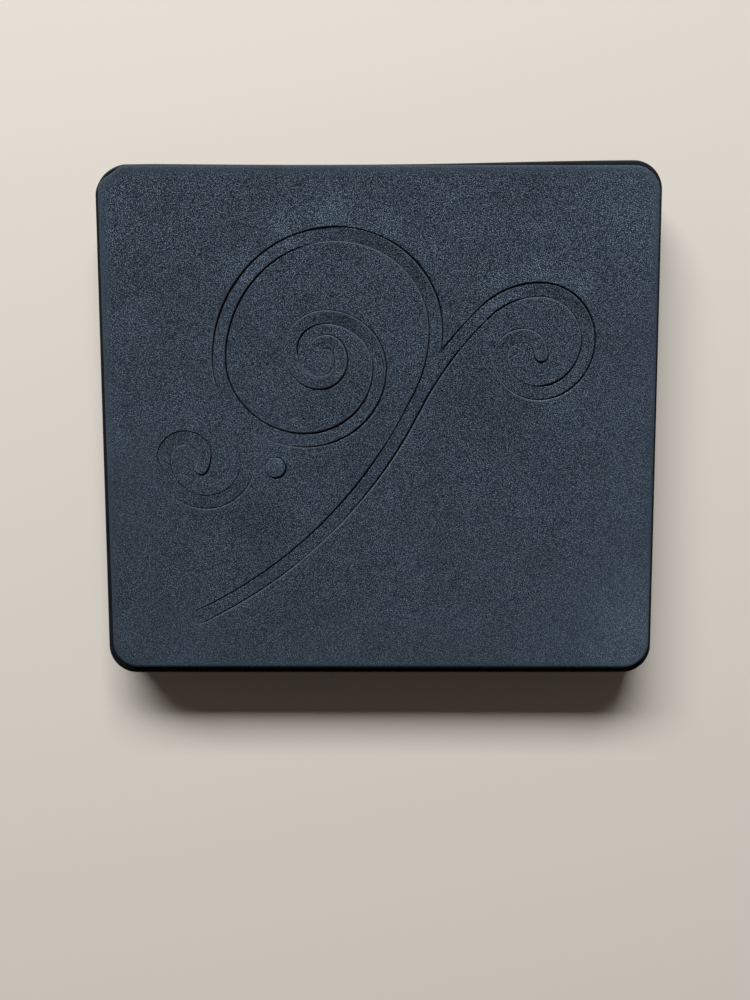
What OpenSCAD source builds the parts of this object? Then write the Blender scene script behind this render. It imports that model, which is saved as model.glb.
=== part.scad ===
// Steel-rule cutting die for a hand roller press. A black plastic tray holds a slotted die board.
// Bent steel rules stand in the slots, and grey foam around them pushes the cut paper off again.
// Lengths are millimetres. X is the long side, Y runs away from the tail, Z points to the cutting face.

/* [Case] */
// Width of the tray over its walls
case_w = 152.4; // [130:0.1:170]
// Depth of the tray over its walls
case_d = 139.7; // [125:0.1:160]
// Height of the tray rim above the table
rim_z = 12; // [10:0.1:14]
// Wall thickness of the tray
case_wall = 1.6; // [1.2:0.1:2.2]
// Floor thickness of the tray
case_floor = 2; // [1.2:0.1:3]
// Outer corner radius of the tray
case_corner_r = 7.8; // [4:0.1:12]
// Bevel around the underside of the tray
foot_bevel = 0.8; // [0.3:0.1:1.5]
// Bevel around the outside of the rim
rim_bevel = 0.4; // [0.1:0.1:0.8]

/* [Die board] */
// Thickness of the slotted board
board_t = 8; // [6:0.1:9]
// Clearance between the board and the tray wall
board_fit = 0.2; // [0.1:0.05:0.5]
// Clearance between a rule and its slot on each side
slot_fit = 0.08; // [0.05:0.01:0.15]
// Length of a bridge left standing across a slot
bridge_l = 3.6; // [2.5:0.1:4]
// Height of a bridge above the underside of the board
bridge_h = 4; // [3:0.1:5]
// Clearance around a bridge in the notch of its rule
bridge_fit = 0.3; // [0.2:0.05:0.5]
// Length of rule that each bridge serves
bridge_pitch = 42; // [25:1:60]

/* [Foam] */
// Thickness of the ejection foam
foam_t = 5.7; // [4:0.1:7]
// Thickness of the adhesive film below the foam
film_t = 0.2; // [0.1:0.05:0.4]
// Gap between the foam and the tray wall
foam_side_gap = 0.6; // [0.5:0.05:1]
// Distance that the foam sits off centre, away from the tail
foam_shift = 0.3; // [0:0.05:0.4]
// Radius that the foam's corners have over the tray's inner corners
foam_round = 0.8; // [0.5:0.1:3]
// Clearance between the foam and a rule on each side
slit_fit = 0.1; // [0.05:0.01:0.2]

/* [Steel rule] */
// Thickness of the rule
rule_t = 0.71; // [0.5:0.01:1.05]
// Height of the rule from foot to edge
rule_h = 12.7; // [11.5:0.1:13.5]
// Height of the ground bevels below the edge
bevel_h = 0.9; // [0.5:0.1:1.5]
// Gap where two rule ends butt
butt_gap = 0.1; // [0.05:0.01:0.2]

/* [Scroll] */
// Stroke width between the two rules that bound it
stroke_w = 3.6; // [3:0.1:4]
// Place of the tail end
tail_xy = [-49.8, -53];
// Heading of the stem at the tail
tail_heading = 24.8; // [22:0.1:30]
// Bend radius of the stem
stem_r = 125.8; // [120:0.1:140]
// Turn of the stem to the left
stem_turn = 38.2; // [33:0.1:40]
// Bend radius of the neck of the right arm
neck_r = 93.5; // [90:0.1:110]
// Turn of the neck to the right, all of it
neck_turn = 19.7; // [16:0.1:22]
// Share of that turn before the big volute forks off
fork_turn = 1.5; // [0.5:0.1:2]
// Tilt of the volutes against X and Y
scroll_tilt = -0.9; // [-2:0.1:2]
// Bend radius of the arm above the neck, which turns until it runs along X but for the tilt
shoulder_r = 20.6; // [18:0.1:24]
// Bend radius of the throat of the big volute, which turns until it runs along Y but for the tilt
throat_r = 39; // [36:0.1:44]
// Bend radius of the branch to the left volute
branch_r = 34; // [30:0.1:38]
// Turn of the big volute after its left side before the branch leaves it
branch_turn = 31; // [25:0.1:35]
// Bend radii of the right volute, one for each eighth of a turn
right_radii = [13.1, 13.2, 14.8, 12.3, 10.7, 9.5, 4.8, 6.5, 4.7, 5.6];
// Bend radii of the big volute from its right side over the top to its left side
big_radii = [24.6, 27.1, 30.8, 34];
// Bend radius of the big volute on its left side, before the branch
big_left_r = 19.7; // [18:0.1:24]
// Bend radius of the big volute after the branch, round to its lowest point
big_low_r = 23.6; // [22:0.1:25]
// Bend radii of the inner coil of the big volute
coil_radii = [20.8, 18.6, 13.2, 15, 10.1, 8, 9.7, 7, 5.6, 6.3, 5.7, 3.1, 3.6];
// Bend radii of the left volute
left_radii = [10.7, 11.6, 11.4, 11.5, 5.9, 5.8, 5.9, 3.9];
// Bend radius of the hooked end of the left volute
hook_r = 9; // [7:0.5:12]
// Turn of that hooked end
hook_turn = 25; // [10:1:30]

/* [Dot] */
// Place of the dot
dot_xy = [-28, -11.9];
// Diameter of the dot on the cutting edge
dot_d = 5.6; // [5:0.1:6.5]

/* [Hidden] */
$fn = 64;
eighth = 45;
half_w = stroke_w / 2;
chord_sag = 0.035;
cap_steps = 8;
notch_ramp = 0.25;
bridge_bite = 0.6;
board_z = case_floor;
film_z = board_z + board_t;
foam_z = film_z + film_t;
foam_top = foam_z + foam_t;
edge_z = board_z + rule_h;
case_in_w = case_w - 2 * case_wall;
case_in_d = case_d - 2 * case_wall;
case_in_r = case_corner_r - case_wall;
board_w = case_in_w - 2 * board_fit;
board_d = case_in_d - 2 * board_fit;
foam_w = case_in_w - 2 * foam_side_gap;
foam_d = case_in_d - 2 * foam_side_gap;
foam_corner_r = case_in_r + foam_round;
slot_half = rule_t / 2 + slot_fit;
slit_half = rule_t / 2 + slit_fit;
notch_l = bridge_l + 2 * bridge_fit;
notch_z = board_z + bridge_h + bridge_fit;
film_color = [0.86, 0.82, 0.62];
foam_color = [0.22, 0.24, 0.27];
steel_color = [0.70, 0.72, 0.74];
wood_color = [0.76, 0.60, 0.40];
case_color = [0.05, 0.05, 0.055];

// A pose is [x, y, heading]. An arc is [radius, turn], with a turn to the left counted positive.
function left_of(h) = [-sin(h), cos(h)];
function spot(p) = [p[0], p[1]];
function last(v) = v[len(v) - 1];
function arc_to(p, arc, turn) =
    let (s = sign(arc[1]), c = spot(p) + s * arc[0] * left_of(p[2]), h = p[2] + turn)
    concat(c - s * arc[0] * left_of(h), [h]);
function arc_steps(arc) = max(1, ceil(abs(arc[1]) / (2 * acos(1 - chord_sag / (arc[0] + half_w)))));
function arc_poses(p, arc) =
    let (n = arc_steps(arc))
    [for (i = [1 : n]) arc_to(p, arc, arc[1] * i / n)];
function run(p, arcs, i = 0) =
    i == len(arcs) ? [] : let (a = arc_poses(p, arcs[i])) concat(a, run(last(a), arcs, i + 1));
function trace(p, arcs) = concat([p], run(p, arcs));
function turns(radii, turn) = [for (r = radii) [r, turn]];
function beside(poses, side) = [for (p = poses) concat(spot(p) + side * half_w * left_of(p[2]), [p[2]])];
function turned(p) = [p[0], p[1], p[2] + 180];
function back(poses) = [for (i = [len(poses) - 1 : -1 : 0]) turned(poses[i])];
function cap(p) =
    [for (i = [0 : cap_steps])
        let (h = p[2] - 180 * i / cap_steps)
        concat(spot(p) + half_w * left_of(h), [h])];
function spots(poses) = [for (p = poses) spot(p)];
function tail_of(v) = [for (i = [1 : len(v) - 1]) v[i]];

// Two strokes part on tangent arcs that bend away from each other. Their near sides cross further on.
function cross_turn(r_own, r_other) =
    let (d = r_own + r_other, a = r_own + half_w, b = r_other + half_w)
    acos((d * d + a * a - b * b) / (2 * d * a));
function mitre_l(angle) = (rule_t / 2 * (1 + cos(angle)) + butt_gap) / sin(angle);
function mitre_turn(angle, r) = mitre_l(angle) / (r + half_w) * 180 / PI;

tail = concat(tail_xy, [tail_heading]);
fork_heading = tail_heading + stem_turn - fork_turn;
neck_heading = tail_heading + stem_turn - neck_turn;
neck_left = neck_turn - fork_turn;
throat_turn = 90 + scroll_tilt - fork_heading;
low_turn = 90 - branch_turn;
stem = trace(tail, [[stem_r, stem_turn], [neck_r, -fork_turn]]);
fork = last(stem);
neck = trace(fork, [[neck_r, -neck_left]]);
arm_arcs = concat([[shoulder_r, scroll_tilt - neck_heading]], turns(right_radii, -eighth));
arm = trace(last(neck), arm_arcs);
over_arcs = concat(turns(big_radii, eighth), [[big_left_r, branch_turn]]);
rise = trace(fork, concat([[throat_r, throat_turn]], over_arcs));
branch = last(rise);
low = trace(branch, [[big_low_r, low_turn]]);
coil = trace(last(low), turns(coil_radii, eighth));
curl_arcs = concat(turns(left_radii, -eighth), [[hook_r, -hook_turn]]);
limb = trace(branch, concat([[branch_r, -branch_turn]], curl_arcs));

// At each corner between two parting strokes one rule runs to the corner and the other stops short of it.
throat_cut = cross_turn(throat_r, neck_r);
neck_cut = cross_turn(neck_r, throat_r);
neck_stop = neck_cut + mitre_turn(throat_cut + neck_cut, neck_r);
low_cut = cross_turn(big_low_r, branch_r);
limb_cut = cross_turn(branch_r, big_low_r);
low_stop = low_cut + mitre_turn(low_cut + limb_cut, big_low_r);
rise_from = arc_to(fork, [throat_r, throat_turn], throat_cut);
rise_free = trace(rise_from, concat([[throat_r, throat_turn - throat_cut]], over_arcs));
neck_from = arc_to(fork, [neck_r, -neck_left], -neck_stop);
arm_free = trace(neck_from, concat([[neck_r, neck_stop - neck_left]], arm_arcs));
low_from = arc_to(branch, [big_low_r, low_turn], low_stop);
low_free = trace(low_from, [[big_low_r, low_turn - low_stop]]);
limb_from = arc_to(branch, [branch_r, -branch_turn], -limb_cut);
limb_free = trace(limb_from, concat([[branch_r, limb_cut - branch_turn]], curl_arcs));

// Centre lines of the rules, each from one butt joint to the next, in order round the scroll.
stem_upper = beside(stem, 1);
volute_inner = beside(concat(rise, tail_of(low)), 1);
coil_inner = beside(coil, 1);
coil_outer = concat(cap(last(coil)), tail_of(back(beside(concat(low_free, tail_of(coil)), -1))));
left_outer = concat(beside(limb_free, 1), tail_of(cap(last(limb))));
left_inner = back(beside(limb, -1));
volute_outer = back(beside(rise_free, -1));
arm_outer = concat(beside(arm_free, 1), tail_of(cap(last(arm))));
arm_inner = back(beside(arm, -1));
stem_lower = concat(back(beside(concat(stem, tail_of(neck)), -1)), tail_of(cap(turned(tail))));
rule_lines = [stem_upper, volute_inner, coil_inner, coil_outer, left_outer,
    left_inner, volute_outer, arm_outer, arm_inner, stem_lower];

// Distance along a rule at each of its poses, and the pose at a distance.
function reach(v, i = 0, s = 0) =
    i == len(v) - 1 ? [s] : concat([s], reach(v, i + 1, s + norm(spot(v[i + 1]) - spot(v[i]))));
function read_off(s, marks, v, k) = lookup(s, [for (i = [0 : len(v) - 1]) [marks[i], v[i][k]]]);
function pose_at(v, marks, s) = [for (k = [0 : 2]) read_off(s, marks, v, k)];
function notch_spots(total) =
    let (n = max(1, round(total / bridge_pitch)))
    [for (k = [0 : n - 1]) total * (k + 0.5) / n];
function notch_edges(spots) =
    let (near = notch_l / 2, far = near + notch_ramp)
    [for (c = spots) each [c - far, c - near, c + near, c + far]];
function foot_z(s, spots) =
    let (d = min([for (c = spots) abs(s - c)]) - notch_l / 2)
    d <= 0 ? notch_z : d >= notch_ramp ? board_z : notch_z + (board_z - notch_z) * d / notch_ramp;
function stations(marks, edges) =
    let (near = notch_ramp / 3, n = len(marks) - 1)
    concat([butt_gap / 2], [for (i = [0 : n - 1]) each concat(
        i > 0 && min([for (e = edges) abs(e - marks[i])]) > near ? [marks[i]] : [],
        [for (e = edges) if (e >= marks[i] && e < marks[i + 1]) e])], [marks[n] - butt_gap / 2]);

// Cross-section of a rule at one pose: two faces, two ground bevels that meet in the edge, and the foot.
function section(p, foot) =
    let (n = left_of(p[2]) * rule_t / 2, shoulder = edge_z - bevel_h)
    [concat(spot(p) - n, [foot]), concat(spot(p) + n, [foot]), concat(spot(p) + n, [shoulder]),
     concat(spot(p), [edge_z]), concat(spot(p) - n, [shoulder])];

module rule_strip(line) {
    marks = reach(line);
    notches = notch_spots(last(marks));
    places = stations(marks, notch_edges(notches));
    rings = [for (s = places) each section(pose_at(line, marks, s), foot_z(s, notches))];
    n = len(places);
    sides = [for (i = [0 : n - 2]) for (k = [0 : 4])
        [5 * i + k, 5 * i + (k + 1) % 5, 5 * i + 5 + (k + 1) % 5, 5 * i + 5 + k]];
    ends = [[4, 3, 2, 1, 0], [for (k = [0 : 4]) 5 * (n - 1) + k]];
    color(steel_color)
        polyhedron(points = rings, faces = concat(sides, ends));
}

module bridge(p, across, along, high) {
    translate([p[0], p[1], board_z])
        rotate([0, 0, p[2]])
            translate([-along / 2, -across / 2, 0])
                cube([along, across, high]);
}

module stroke(poses, ends) {
    start = ends[0] ? tail_of(cap(turned(poses[0]))) : [];
    stop = ends[1] ? tail_of(cap(last(poses))) : [];
    polygon(concat(spots(beside(poses, 1)), spots(stop), spots(back(beside(poses, -1))), spots(start)));
}

module scroll_shape() {
    stroke(concat(stem, tail_of(neck), tail_of(arm)), [true, true]);
    stroke(concat(rise, tail_of(low), tail_of(coil)), [false, true]);
    stroke(limb, [false, true]);
}

module scroll_block(grow, high) {
    linear_extrude(height = high)
        offset(delta = grow)
            scroll_shape();
}

module edge_profile(r, high, foot, top) {
    polygon([[0, 0], [r - foot, 0], [r, foot], [r, high - top], [r - top, high], [0, high]]);
}

// Flat slab with round corners, bevelled below and above, built from a core, four sides and four corners.
module slab(w, d, r, high, foot = 0, top = 0) {
    core_w = w - 2 * r;
    core_d = d - 2 * r;
    translate([-core_w / 2, -core_d / 2, 0])
        cube([core_w, core_d, high]);
    for (turn = [0, 180])
        rotate([0, 0, turn])
            translate([core_w / 2, core_d / 2, 0])
                rotate([90, 0, 0])
                    linear_extrude(height = core_d)
                        edge_profile(r, high, foot, top);
    for (turn = [90, 270])
        rotate([0, 0, turn])
            translate([core_d / 2, core_w / 2, 0])
                rotate([90, 0, 0])
                    linear_extrude(height = core_w)
                        edge_profile(r, high, foot, top);
    for (corner = [[1, 1, 0], [-1, 1, 90], [-1, -1, 180], [1, -1, 270]])
        translate([corner[0] * core_w / 2, corner[1] * core_d / 2, 0])
            rotate([0, 0, corner[2]])
                rotate_extrude(angle = 90)
                    edge_profile(r, high, foot, top);
}

// Moulded tray: flat floor, thin upright wall, corners rounded.
module case_tray() {
    color(case_color)
        difference() {
            slab(case_w, case_d, case_corner_r, rim_z, foot_bevel, rim_bevel);
            translate([0, 0, case_floor])
                slab(case_in_w, case_in_d, case_in_r, rim_z);
        }
}

// Board with one slot along each rule. Bridges left in the lower half of the slots keep it in one piece.
module die_board() {
    color(wood_color)
        union() {
            difference() {
                translate([0, 0, board_z])
                    slab(board_w, board_d, case_in_r - board_fit, board_t);
                translate([0, 0, board_z - 1])
                    linear_extrude(height = board_t + 2)
                        difference() {
                            offset(delta = slot_half)
                                scroll_shape();
                            offset(delta = -slot_half)
                                scroll_shape();
                        }
                translate([dot_xy[0], dot_xy[1], board_z - 1])
                    cylinder(d = dot_d + 2 * slot_half, h = board_t + 2);
            }
            for (line = rule_lines) {
                marks = reach(line);
                for (s = notch_spots(last(marks)))
                    bridge(pose_at(line, marks, s), 2 * (slot_half + bridge_bite), bridge_l, bridge_h);
            }
        }
}

// Adhesive film that holds the two sheets of foam down on the board.
module foam_film() {
    color(film_color) {
        translate([0, 0, film_z])
            difference() {
                translate([0, foam_shift, 0])
                    slab(foam_w, foam_d, foam_corner_r, film_t);
                translate([0, 0, -1])
                    scroll_block(slit_half, film_t + 2);
                translate([dot_xy[0], dot_xy[1], -1])
                    cylinder(d = dot_d + 2 * slit_half, h = film_t + 2);
            }
        translate([0, 0, film_z])
            scroll_block(-slit_half, film_t);
    }
}

// Upper rule of the stem, from the tail to the fork.
module stem_upper_rule() {
    rule_strip(stem_upper);
}

// Lower rule of the stem, round the tail and up to the shoulder of the right arm.
module stem_lower_rule() {
    rule_strip(stem_lower);
}

// Inner rule of the big volute, from the fork to its lowest point.
module volute_inner_rule() {
    rule_strip(volute_inner);
}

// Outer rule of the big volute, from the branch on its left to the corner with the right arm.
module volute_outer_rule() {
    rule_strip(volute_outer);
}

// Inner rule of the coil of the big volute.
module coil_inner_rule() {
    rule_strip(coil_inner);
}

// Outer rule of the coil, with the bend round its tip.
module coil_outer_rule() {
    rule_strip(coil_outer);
}

// Outer rule of the left volute, with the bend round its tip.
module left_outer_rule() {
    rule_strip(left_outer);
}

// Inner rule of the left volute.
module left_inner_rule() {
    rule_strip(left_inner);
}

// Outer rule of the right arm, with the bend round its tip.
module arm_outer_rule() {
    rule_strip(arm_outer);
}

// Inner rule of the right arm, from the tip to the shoulder.
module arm_inner_rule() {
    rule_strip(arm_inner);
}

// Tube punch for the dot, pushed through a drilled hole of the board.
module dot_punch() {
    color(steel_color)
        translate([dot_xy[0], dot_xy[1], board_z])
            rotate_extrude(angle = 360)
                translate([dot_d / 2, 0])
                    polygon([[-rule_t / 2, 0], [rule_t / 2, 0], [rule_t / 2, rule_h - bevel_h],
                        [0, rule_h], [-rule_t / 2, rule_h - bevel_h]]);
}

// Sheet of foam around the scroll.
module field_foam() {
    color(foam_color)
        translate([0, 0, foam_z])
            difference() {
                translate([0, foam_shift, 0])
                    slab(foam_w, foam_d, foam_corner_r, foam_t);
                translate([0, 0, -1])
                    scroll_block(slit_half, foam_t + 2);
                translate([dot_xy[0], dot_xy[1], -1])
                    cylinder(d = dot_d + 2 * slit_half, h = foam_t + 2);
            }
}

// Strip of foam between the rules of the scroll.
module scroll_foam() {
    color(foam_color)
        translate([0, 0, foam_z])
            scroll_block(-slit_half, foam_t);
}

// Plug of foam inside the tube punch, standing on the floor of the tray.
module dot_foam() {
    color(foam_color)
        translate([dot_xy[0], dot_xy[1], case_floor])
            cylinder(d = dot_d - 2 * slit_half, h = foam_top - case_floor);
}

case_tray();
die_board();
foam_film();
stem_upper_rule();
stem_lower_rule();
volute_inner_rule();
volute_outer_rule();
coil_inner_rule();
coil_outer_rule();
left_outer_rule();
left_inner_rule();
arm_outer_rule();
arm_inner_rule();
dot_punch();
field_foam();
scroll_foam();
dot_foam();
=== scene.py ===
import math

import bmesh
import bpy
import numpy as np
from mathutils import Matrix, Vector
from mathutils.geometry import delaunay_2d_cdt
from mathutils.kdtree import KDTree


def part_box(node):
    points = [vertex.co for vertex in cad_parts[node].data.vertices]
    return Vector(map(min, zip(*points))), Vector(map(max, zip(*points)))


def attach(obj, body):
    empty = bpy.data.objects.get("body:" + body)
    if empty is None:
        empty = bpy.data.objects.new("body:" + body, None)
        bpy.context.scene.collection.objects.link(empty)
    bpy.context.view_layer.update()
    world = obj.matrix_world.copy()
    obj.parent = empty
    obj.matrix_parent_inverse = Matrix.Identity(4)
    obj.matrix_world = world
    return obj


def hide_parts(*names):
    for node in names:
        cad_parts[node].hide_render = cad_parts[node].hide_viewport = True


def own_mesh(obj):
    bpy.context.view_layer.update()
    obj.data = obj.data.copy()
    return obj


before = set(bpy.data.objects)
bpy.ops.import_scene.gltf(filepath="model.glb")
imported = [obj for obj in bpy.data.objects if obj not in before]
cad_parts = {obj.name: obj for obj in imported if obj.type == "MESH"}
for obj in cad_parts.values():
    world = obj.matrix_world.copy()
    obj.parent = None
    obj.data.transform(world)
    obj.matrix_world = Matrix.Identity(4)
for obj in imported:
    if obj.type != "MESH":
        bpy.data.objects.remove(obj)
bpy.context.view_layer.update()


# The case tray: one injection moulding in black plastic, open above, which carries everything else.
# Its corners are round and its rim is rolled. The underside has a shallow bare panel, and the round
# marks that the mould's ejector pins leave.
mm = 0.001
hair = 0.01 * mm
case_low, case_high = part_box("case_tray")
board_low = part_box("die_board")[0]
board_fit = 0.2 * mm
tray_wall = board_low.x - board_fit - case_low.x
tray_corner_r = 7.8 * mm
rim_roll = 0.7 * mm
rim_inner_roll = 0.35 * mm
foot_roll = 0.8 * mm
panel_margin = 9 * mm
panel_depth = 0.4 * mm
panel_roll = 0.15 * mm
pin_r = 3 * mm
pin_depth = 0.15 * mm
pin_x = 52 * mm
pin_y = 44 * mm
pin_spots = [(x * pin_x, y * pin_y) for x in (-1, 0, 1) for y in (-1, 1)]
tray_smooth = math.radians(35)
# Shares of a face's normal: one that looks straight along an axis, and one that is steep.
straight = 0.99
steep = 0.5


def pick(piece, kind, test):
    """Selects, in edit mode, only those edges or faces of a piece that pass a test."""
    bpy.ops.mesh.select_mode(type=kind)
    bpy.ops.mesh.select_all(action="DESELECT")
    work = bmesh.from_edit_mesh(piece.data)
    for part in work.edges if kind == "EDGE" else work.faces:
        if test(part):
            part.select_set(True)
    bmesh.update_edit_mesh(piece.data)


def push(piece, test, move, reach):
    """Moves the faces that pass a test, and draws what lies within reach along with them."""
    pick(piece, "FACE", test)
    bpy.ops.transform.translate(value=move, use_proportional_edit=True,
                                proportional_edit_falloff="SMOOTH", proportional_size=reach)


def level(edge, z):
    """True where both ends of an edge lie at one height."""
    return all(abs(v.co.z - z) < hair for v in edge.verts)


def wall_sides(edge):
    """For each upright face beside an edge: True where it faces away from the middle of the tray."""
    upright = [f for f in edge.link_faces if abs(f.normal.z) < steep]
    return [f.normal.xy.dot(f.calc_center_median().xy) > 0 for f in upright]


def faces_in(face):
    """True where an upright face of the tray looks towards its middle."""
    return abs(face.normal.z) < straight and face.normal.xy.dot(face.calc_center_median().xy) < 0


bpy.ops.object.select_all(action="DESELECT")
bpy.ops.mesh.primitive_cube_add(size=1, location=(case_low + case_high) / 2)
tray = bpy.context.object
tray.name = "black_case_tray"
bpy.ops.transform.resize(value=case_high - case_low)
bpy.ops.object.transform_apply(location=True, rotation=True, scale=True)
bpy.ops.object.mode_set(mode="EDIT")
pick(tray, "EDGE", lambda e: abs(e.verts[0].co.z - e.verts[1].co.z) > mm)
bpy.ops.mesh.bevel(offset=tray_corner_r, segments=14, affect="EDGES")
pick(tray, "FACE", lambda f: f.normal.z > straight)
bpy.ops.mesh.inset(thickness=tray_wall)
bpy.ops.mesh.extrude_region_move(TRANSFORM_OT_translate={"value": (0, 0, board_low.z - case_high.z)})
pick(tray, "EDGE", lambda e: level(e, case_high.z) and True in wall_sides(e))
bpy.ops.mesh.bevel(offset=rim_roll, segments=5, affect="EDGES")
pick(tray, "EDGE", lambda e: level(e, case_high.z) and False in wall_sides(e))
bpy.ops.mesh.bevel(offset=rim_inner_roll, segments=3, affect="EDGES")
pick(tray, "EDGE", lambda e: level(e, 0) and True in wall_sides(e))
bpy.ops.mesh.bevel(offset=foot_roll, segments=4, affect="EDGES")
pick(tray, "FACE", lambda f: f.normal.z < -straight and f.calc_center_median().z < hair)
bpy.ops.mesh.inset(thickness=panel_margin)
bpy.ops.mesh.extrude_region_move(TRANSFORM_OT_translate={"value": (0, 0, panel_depth)})
pick(tray, "EDGE", lambda e: (level(e, 0) or level(e, panel_depth)) and False in wall_sides(e))
bpy.ops.mesh.bevel(offset=panel_roll, segments=2, affect="EDGES")
# The walls are a little out of true: the back one is bowed in, two lean out near an end, and the back
# left corner is bruised. Cuts across the tray let its walls bend. The inside and the floor stay true.
cuts = 5
cut_gap = 12 * mm
bow = 0.55 * mm
bow_x = -8 * mm
bow_half = 8 * mm
bow_reach = 70 * mm
lean = 0.24 * mm
left_lean_y = 55 * mm
left_lean_reach = 12 * mm
back_lean_x = 60 * mm
back_lean_reach = 60 * mm
bruise = 0.4 * mm
bruise_reach = 7 * mm
slanting = 1.38
for k in range(-cuts, cuts + 1):
    bpy.ops.mesh.select_all(action="SELECT")
    bpy.ops.mesh.bisect(plane_co=(k * cut_gap, 0, 0), plane_no=(1, 0, 0))
pick(tray, "FACE", lambda f: faces_in(f) or abs(f.normal.z) > straight)
bpy.ops.mesh.hide()
push(tray, lambda f: f.normal.y > straight and abs(f.calc_center_median().x - bow_x) < bow_half,
     (0, -bow, 0), bow_reach)
push(tray, lambda f: f.normal.x < -straight and f.calc_center_median().y > left_lean_y,
     (-lean, 0, 0), left_lean_reach)
push(tray, lambda f: f.normal.y > straight and f.calc_center_median().x > back_lean_x,
     (0, lean, 0), back_lean_reach)
push(tray, lambda f: f.normal.y - f.normal.x > slanting and f.calc_center_median().z > board_low.z,
     (bruise, -bruise, 0), bruise_reach)
bpy.ops.mesh.reveal()
bpy.ops.object.mode_set(mode="OBJECT")
for x, y in pin_spots:
    bpy.ops.object.select_all(action="DESELECT")
    bpy.ops.mesh.primitive_cylinder_add(vertices=32, radius=pin_r, depth=2 * pin_depth,
                                        location=(x, y, panel_depth))
    pin = bpy.context.object
    mark = tray.modifiers.new("pin_mark", "BOOLEAN")
    mark.object = pin
    mark.operation = "DIFFERENCE"
    bpy.context.view_layer.objects.active = tray
    bpy.ops.object.modifier_apply(modifier=mark.name)
    bpy.data.objects.remove(pin)
tray.select_set(True)
bpy.ops.object.shade_smooth_by_angle(angle=tray_smooth)


def add(material, kind, inputs=None, **options):
    """Adds a node to a material. An input is a value, or the output socket that feeds it."""
    made = material.node_tree.nodes.new(kind)
    for name, value in options.items():
        setattr(made, name, value)
    for name, value in (inputs or {}).items():
        if isinstance(value, bpy.types.NodeSocket):
            material.node_tree.links.new(value, made.inputs[name])
        else:
            made.inputs[name].default_value = value
    return made


def finish_with(material, name, socket):
    """Feeds an input of the material's main shader."""
    material.node_tree.links.new(socket, material.node_tree.nodes["Principled BSDF"].inputs[name])


def new_finish(name, **values):
    """A new material whose main shader has these plain values."""
    material = bpy.data.materials.new(name)
    material.use_nodes = True
    shader = material.node_tree.nodes["Principled BSDF"]
    for socket, value in values.items():
        shader.inputs[socket.replace("_", " ")].default_value = value
    return material


def place_on(material):
    """The place on a piece, for a pattern that stays on it."""
    return add(material, "ShaderNodeTexCoord").outputs["Object"]


def ramp(material, fac, stops):
    """A colour ramp with these (place, colour) stops."""
    made = add(material, "ShaderNodeValToRGB", {"Fac": fac})
    elements = made.color_ramp.elements
    while len(elements) < len(stops):
        elements.new(0.5)
    for element, (place, colour) in zip(elements, stops):
        element.position = place
        element.color = (*colour, 1)
    return made.outputs["Color"]


def noise(material, place, scale, detail, roughness=0.5):
    """Soft noise. Its scale is in cells to the metre."""
    inputs = {"Vector": place, "Scale": scale, "Detail": detail, "Roughness": roughness}
    return add(material, "ShaderNodeTexNoise", inputs).outputs["Fac"]


def roughen(material, height, strength, depth):
    """Makes the material's surface look uneven."""
    bump = add(material, "ShaderNodeBump", {"Strength": strength, "Distance": depth, "Height": height})
    finish_with(material, "Normal", bump.outputs["Normal"])


def black_moulded_plastic():
    """Black styrene with the fine grain of a spark-eroded mould and a few dull scuffs."""
    plastic = new_finish("black_moulded_plastic", Specular_IOR_Level=0.06)
    grain = noise(plastic, place_on(plastic), scale=2600, detail=2)
    scuffs = noise(plastic, place_on(plastic), scale=90, detail=6, roughness=0.65)
    colour = ramp(plastic, scuffs, [(0.35, (0.006, 0.0075, 0.01)), (0.7, (0.011, 0.0135, 0.0175))])
    finish_with(plastic, "Base Color", colour)
    rough = ramp(plastic, scuffs, [(0.3, (0.45,) * 3), (0.7, (0.6,) * 3)])
    finish_with(plastic, "Roughness", rough)
    roughen(plastic, grain, strength=0.25, depth=0.05 * mm)
    return plastic


tray.data.materials.append(black_moulded_plastic())
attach(tray, "die")
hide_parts("case_tray")


# The die board: birch plywood that lies in the tray. A laser cut its slots and burnt their walls brown,
# and bridges left across the slots hold the islands between them.
ply_t = 1.6 * mm


def height_of(material, vector):
    """The upward part of a vector."""
    return add(material, "ShaderNodeSeparateXYZ", {"Vector": vector}).outputs["Z"]


def reckon(material, operation, *values):
    """The result of one sum on these values or sockets."""
    return add(material, "ShaderNodeMath", dict(enumerate(values)), operation=operation).outputs[0]


def blend_colours(material, share, first, second):
    """The first colour where the share is 0, and the second where it is 1."""
    return add(material, "ShaderNodeMix", {0: share, 6: first, 7: second}, data_type="RGBA").outputs[2]


def die_plywood():
    """Birch plywood: long grain on the faces, crossing plies on the edges, burnt walls in the slots."""
    wood = new_finish("die_plywood", Roughness=0.7)
    place = place_on(wood)
    stretch = add(wood, "ShaderNodeMapping", {"Vector": place, "Scale": (12, 160, 160)}).outputs["Vector"]
    grain = noise(wood, stretch, scale=6, detail=8, roughness=0.65)
    face = ramp(wood, grain, [(0.3, (0.36, 0.22, 0.10)), (0.7, (0.58, 0.42, 0.24))])
    plies = reckon(wood, "PINGPONG", height_of(wood, place), ply_t)
    bands = reckon(wood, "MULTIPLY", plies, 1 / ply_t)
    burnt = ramp(wood, bands, [(0.45, (0.07, 0.04, 0.02)), (0.55, (0.13, 0.08, 0.04))])
    normal = add(wood, "ShaderNodeNewGeometry").outputs["True Normal"]
    flat = reckon(wood, "ABSOLUTE", height_of(wood, normal))
    finish_with(wood, "Base Color", blend_colours(wood, flat, burnt, face))
    roughen(wood, grain, strength=0.3, depth=0.1 * mm)
    return wood


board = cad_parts["die_board"]
board.data.materials.clear()
board.data.materials.append(die_plywood())


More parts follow.
